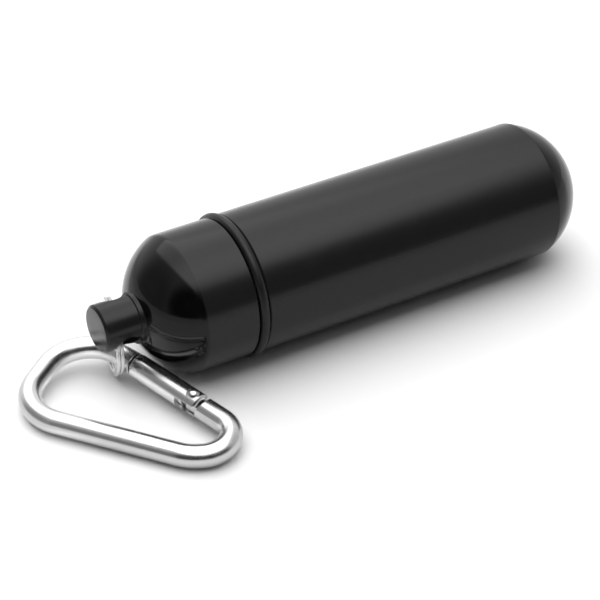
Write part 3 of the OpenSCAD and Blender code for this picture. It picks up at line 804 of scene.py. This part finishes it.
gate = turned("gate_tube", [
    (plug_to, 0, 0), (plug_to, gate_bore, 0), (gate_end, gate_bore, bore_ease),
    (gate_end, gate_radius - gate_bevel, fine_ease), (gate_end - gate_bevel, gate_radius, bevel_ease),
    (gate_start + gate_bevel, gate_radius, bevel_ease), (gate_start, gate_radius - gate_bevel, fine_ease),
    (gate_start, gate_bore, bore_ease), (plug_from, gate_bore, 0), (plug_from, 0, 0)], sides=96, limit=50)


def block(name, low, high):
    """A box between two corners in mm, used only to cut."""
    shape = bmesh.new()
    bmesh.ops.create_cube(shape, size=1)
    size, middle = Vector(high) - Vector(low), (Vector(low) + Vector(high)) / 2
    shape.transform(Matrix.Translation(middle * MM) @ Matrix.Diagonal((*(size * MM), 1)))
    return placed(name, mesh_of(name, shape))


def across(name, x, radius, low, high):
    """A round bar across the gate at a distance along it, used only to cut."""
    piece = turned(name, [(low, 0, 0), (low, radius, 0), (high, radius, 0), (high, 0, 0)], sides=64)
    piece.data.transform(shifted(x) @ swung(-90, "Y"))
    return piece


# The latch slot is open only on the loop's outer side, the hinge slot goes right through
half_slot = slot_wide / 2
carved(gate, [
    block("latch_slot", (gate_start - slot_past, -gate_bore, -half_slot), (plug_from, cut_past, half_slot)),
    block("hinge_slot", (rivet_at - hinge_slot, -cut_past, -half_slot),
          (gate_end + slot_past, cut_past, half_slot)),
    across("rivet_hole", rivet_at, rivet_radius + pin_fit, -cut_past, cut_past),
    across("spot_face_up", rivet_at, head_radius + pin_fit, head_seat, cut_past),
    across("spot_face_down", rivet_at, head_radius + pin_fit, -cut_past, -head_seat),
    across("pin_hole", pin_at, pin_radius + pin_fit, -cut_past, cut_past)], limit=50)
dressed(gate, polished)
gate.data.transform(gate_place)
true_shading(gate)
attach(gate, "gate")
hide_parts("carabiner_gate")

# The hinge rivet is one steel pin, set at both ends into low round heads
head_ball = cap_of_ball(head_dome, head_radius)
head_turn = math.degrees(math.asin(head_radius / head_ball))
head_top = head_seat + pin_fit + head_dome
upper = arc((head_top - head_ball, 0), head_ball, 0, head_turn, 14)
lower = [(-x, r, e) for x, r, e in upper[::-1]]
shank = [(head_seat + pin_fit, rivet_radius, 0), (-head_seat - pin_fit, rivet_radius, 0)]
rivet = turned("rivet_pin", upper + shank + lower, sides=64, limit=50)
rivet_metal = metal_finish("rivet_steel", (0.84, 0.84, 0.85, 1), (0.6, 0.6, 0.61, 1),
                           roughness=0.22, along=0, line_depth=0.05, rubs=0.3, bump=0.1, metallic=1, ior=1.5)
rivet.data.transform(gate_place @ shifted(rivet_at) @ swung(-90, "Y"))

# The latch pin is a short steel pin pressed through the tube and ground flush with it
pin_half = math.sqrt(gate_radius ** 2 - pin_radius ** 2)
pin_ease = 0.06
latch = turned("latch_bar", [(-pin_half, 0, 0), (-pin_half, pin_radius, pin_ease),
                             (pin_half, pin_radius, pin_ease), (pin_half, 0, 0)], sides=48, limit=50)
latch.data.transform(gate_place @ shifted(pin_at) @ swung(-90, "Y"))

# The plunger and its wound spring lie inside the tube and push on the hinge tongue
running_fit = 0.05
plunger_long = 1.6
plunger_gap = 0.12
plunger_nose_ease = 0.15
plunger_from = rivet_at - tongue_tip - plunger_gap
plunger_back = plunger_from - plunger_long
plunger_radius = gate_bore - running_fit
plunger = turned("plunger_slug", [
    (plunger_back, 0, 0), (plunger_back, plunger_radius, edge_ease),
    (plunger_from, plunger_radius, plunger_nose_ease), (plunger_from, 0, 0)], sides=64, limit=50)
plunger.data.transform(gate_place)
spring_wire = 0.3
spring_turns = 6.0
spring_roundness = 0.48
spring_from = plug_to + running_fit
spring_room = plunger_back - running_fit - spring_from
spring = grown("spring_coil", wire_tree, {
    "Radius": (plunger_radius - spring_wire / 2) * MM, "Turns": spring_turns,
    "Rise": (spring_room - spring_wire) * MM, "Step": 0.0, "Wide": spring_wire * MM, "Thick": spring_wire * MM,
    "Corner": spring_wire * spring_roundness * MM, "Points Per Turn": 32, "Material": plated}, limit=50)
spring.data.transform(gate_place @ shifted(spring_from + spring_wire / 2) @ swung(90, "Y"))
crisp(spring.data, 50)
for piece, node, body, finish, slot_name in (
        (rivet, "hinge_rivet", "gate", rivet_metal, "rivet_metal"),
        (latch, "latch_pin", "gate", rivet_metal, "rivet_metal"),
        (plunger, "gate_plunger", "plunger", plated, "ring_steel"),
        (spring, "gate_spring", "gate", plated, "ring_steel")):
    dressed(piece, finish)
    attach(piece, body)
    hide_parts(node)
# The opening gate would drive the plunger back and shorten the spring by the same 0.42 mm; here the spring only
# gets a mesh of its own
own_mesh(spring)

# ---------------------------------------------------------------- the studio
# A white sweep under one large soft light that hangs a little behind the capsule. The room
# on the camera's side is darker, which draws the dark band along the black tube.
ground = -barrel_radius * MM
floor_half = 3.0
floor_mesh = bpy.data.meshes.new("white_sweep")
floor_mesh.from_pydata([(-floor_half, -floor_half, ground), (floor_half, -floor_half, ground),
                        (floor_half, floor_half, ground), (-floor_half, floor_half, ground)], [], [(0, 1, 2, 3)])
floor = placed("white_sweep", floor_mesh)


def smooth_rise(tree, value, start, end, level_before=0, level_after=1):
    """A level that changes smoothly from one to another while a value goes from start to end."""
    rise = tree.nodes.new("ShaderNodeMapRange")
    rise.interpolation_type = "SMOOTHSTEP"
    for label, number in (("From Min", start), ("From Max", end),
                          ("To Min", level_before), ("To Max", level_after)):
        rise.inputs[label].default_value = number
    tree.links.new(value, rise.inputs["Value"])
    return rise.outputs["Result"]


# Near the object the paper is lit as paper, further off it is plain white. What shiny pieces
# mirror of it carries painted shade on the camera's side and past the boss: there the paper's colour and glow
# are darkened for glossy and transmission rays only
paper_tone = 0.9
white_from, white_to = 0.09, 0.2
# Where the painted shade on the mirrored paper starts, where it is full, and how deep it is
room_side_from, room_side_to, room_side_painted_shade_depth = -0.003, -0.018, 0.42
boss_side_from, boss_side_to, boss_side_painted_shade_depth = -0.036, -0.044, 0.45
paper = bpy.data.materials.new("white_paper")
paper.use_nodes = True
paper_tree = paper.node_tree
paper_tree.nodes.clear()
paper_out = paper_tree.nodes.new("ShaderNodeOutputMaterial")
matt = paper_tree.nodes.new("ShaderNodeBsdfDiffuse")
glow = paper_tree.nodes.new("ShaderNodeEmission")
glow.inputs["Color"].default_value = (1, 1, 1, 1)
seen = paper_tree.nodes.new("ShaderNodeLightPath")
spot = paper_tree.nodes.new("ShaderNodeTexCoord")
apart = paper_tree.nodes.new("ShaderNodeVectorMath")
apart.operation = "LENGTH"
paper_or_white = paper_tree.nodes.new("ShaderNodeMixShader")
mirrored = mathed(paper_tree, "MAXIMUM", seen.outputs["Is Glossy Ray"], seen.outputs["Is Transmission Ray"])
eye = mathed(paper_tree, "MAXIMUM", seen.outputs["Is Camera Ray"], mirrored)
on_floor = paper_tree.nodes.new("ShaderNodeSeparateXYZ")
paper_tree.links.new(spot.outputs["Object"], on_floor.inputs[0])
paper_tree.links.new(spot.outputs["Object"], apart.inputs[0])
# Painted shade, seen only in reflections: the paper darkens towards the camera's side and past the boss
painted_shade_room_side = smooth_rise(paper_tree, on_floor.outputs["Y"], room_side_from, room_side_to, 0, room_side_painted_shade_depth)
painted_shade_past_boss = smooth_rise(paper_tree, on_floor.outputs["X"], boss_side_from, boss_side_to, 0, boss_side_painted_shade_depth)
far = smooth_rise(paper_tree, apart.outputs["Value"], white_from, white_to)
mirrored_painted_shade = mathed(paper_tree, "MAXIMUM", painted_shade_room_side, painted_shade_past_boss)
paper_level_after_painted_shade = mathed(paper_tree, "SUBTRACT", 1, mathed(paper_tree, "MULTIPLY", mirrored, mirrored_painted_shade))
paper_tone_after_painted_shade = mathed(paper_tree, "MULTIPLY", paper_level_after_painted_shade, paper_tone)
paper_colour = paper_tree.nodes.new("ShaderNodeCombineColor")
for label in ("Red", "Green", "Blue"):
    paper_tree.links.new(paper_tone_after_painted_shade, paper_colour.inputs[label])
for source, target in (
        (paper_colour.outputs["Color"], matt.inputs["Color"]), (paper_level_after_painted_shade, glow.inputs["Strength"]),
        (mathed(paper_tree, "MULTIPLY", eye, far), paper_or_white.inputs[0]),
        (matt.outputs[0], paper_or_white.inputs[1]), (glow.outputs[0], paper_or_white.inputs[2]),
        (paper_or_white.outputs[0], paper_out.inputs["Surface"])):
    paper_tree.links.new(source, target)
floor.data.materials.append(paper)

world = bpy.data.worlds.new("studio_room")
bpy.context.scene.world = world
world.use_nodes = True
room = world.node_tree
room.nodes.clear()
room_out = room.nodes.new("ShaderNodeOutputWorld")
facing = room.nodes.new("ShaderNodeTexCoord")
walls = room.nodes.new("ShaderNodeBackground")
white = room.nodes.new("ShaderNodeBackground")
white.inputs["Color"].default_value = (1, 1, 1, 1)
walls_or_white = room.nodes.new("ShaderNodeMixShader")
eyes = room.nodes.new("ShaderNodeLightPath")


def lobe(azimuth, elevation, inner, outer):
    """1 within an angle of a direction, fading to 0 at a wider one, in degrees. Azimuth goes
    from the camera's side of the capsule towards its closed end."""
    a, e = math.radians(azimuth), math.radians(elevation)
    aim = room.nodes.new("ShaderNodeVectorMath")
    aim.operation = "DOT_PRODUCT"
    aim.inputs[1].default_value = (math.sin(a) * math.cos(e), -math.cos(a) * math.cos(e), math.sin(e))
    room.links.new(facing.outputs["Generated"], aim.inputs[0])
    at_outer, at_inner = math.cos(math.radians(outer)), math.cos(math.radians(inner))
    return smooth_rise(room, aim.outputs["Value"], at_outer, at_inner)


# Grey walls, brighter behind the capsule, with dark gaps on the camera's side
wall_level, back_wall_gain = 0.5, 0.5
back_wall = lobe(azimuth=155, elevation=5, inner=20, outer=75)
room_level = mathed(room, "ADD", wall_level, mathed(room, "MULTIPLY", back_wall, back_wall_gain))
dark = 0
for azimuth, elevation, inner, outer, depth in ((-110, 12, 15, 45, 0.5), (-48, 16, 16, 40, 0.97),
                                                (-10, 17, 12, 33, 0.97), (27, 17, 8, 30, 0.95)):
    gap = mathed(room, "MULTIPLY", lobe(azimuth, elevation, inner, outer), depth)
    dark = mathed(room, "MAXIMUM", dark, gap)
room_level = mathed(room, "MULTIPLY", room_level, mathed(room, "SUBTRACT", 1, dark))

# The soft box hangs level overhead, from a little before the capsule to well behind it. Shiny
# pieces mirror it with a soft edge, while the lamp further down gives the light itself
box_left, box_right, box_front, box_back = -0.71, 0.68, -0.8, 1.95
box_side_soft, box_front_soft, box_back_soft = 0.12, 0.7, 0.5
box_level, box_front_gain = 1.1, 0.75
front_gain_from, front_gain_to = -0.25, 0.5
lowest_up = 0.05
split = room.nodes.new("ShaderNodeSeparateXYZ")
room.links.new(facing.outputs["Generated"], split.inputs[0])
up = mathed(room, "MAXIMUM", split.outputs["Z"], lowest_up)
aside = mathed(room, "DIVIDE", split.outputs["X"], up)
behind = mathed(room, "DIVIDE", split.outputs["Y"], up)
soft_box_seen = eyes.outputs["Is Glossy Ray"]
for value, edge, soft, before, after in (
        (aside, box_left, box_side_soft, 0, 1), (aside, box_right, box_side_soft, 1, 0),
        (behind, box_front, box_front_soft, 0, 1), (behind, box_back, box_back_soft, 1, 0)):
    soft_box_seen = mathed(room, "MULTIPLY", soft_box_seen,
                           smooth_rise(room, value, edge - soft / 2, edge + soft / 2, before, after))
in_front = smooth_rise(room, behind, front_gain_from, front_gain_to, 1, 0)
brighter = mathed(room, "MULTIPLY", in_front, box_front_gain)
box_light = mathed(room, "MULTIPLY", soft_box_seen, mathed(room, "ADD", brighter, box_level))
for source, target in (
        (mathed(room, "ADD", room_level, box_light), walls.inputs["Strength"]),
        (eyes.outputs["Is Camera Ray"], walls_or_white.inputs[0]),
        (walls.outputs[0], walls_or_white.inputs[1]), (white.outputs[0], walls_or_white.inputs[2]),
        (walls_or_white.outputs[0], room_out.inputs["Surface"])):
    room.links.new(source, target)

soft_light = bpy.data.lights.new("soft_box", "AREA")
soft_light.shape = "RECTANGLE"
soft_light.size = 1.1
soft_light.size_y = 2.0
soft_light.energy = 16.0
soft_box = bpy.data.objects.new("soft_box", soft_light)
soft_box.location = (0, 0.55, 0.8)
soft_box.visible_camera = False
soft_box.visible_glossy = False
bpy.context.scene.collection.objects.link(soft_box)

# ---------------------------------------------------------------- the camera
# It stands where the photograph was taken: beside the boss, looking down by 35 degrees
eye_place = Vector((-152.209, -277.695, 218.547)) * MM
eye_right = Vector((0.860351, -0.509702, 0.0))
eye_up = Vector((0.292624, 0.493934, 0.818780))
eye_back = Vector((-0.417333, -0.704438, 0.574108))
lens = bpy.data.cameras.new("camera")
lens.lens = 139.044
lens.sensor_width = 36
lens.clip_start = 0.01
camera = bpy.data.objects.new("camera", lens)
eye_turn = Matrix((eye_right, eye_up, eye_back)).transposed().to_4x4()
camera.matrix_world = Matrix.Translation(eye_place) @ eye_turn
bpy.context.scene.collection.objects.link(camera)
bpy.context.scene.camera = camera
bpy.context.scene.view_settings.view_transform = "Standard"
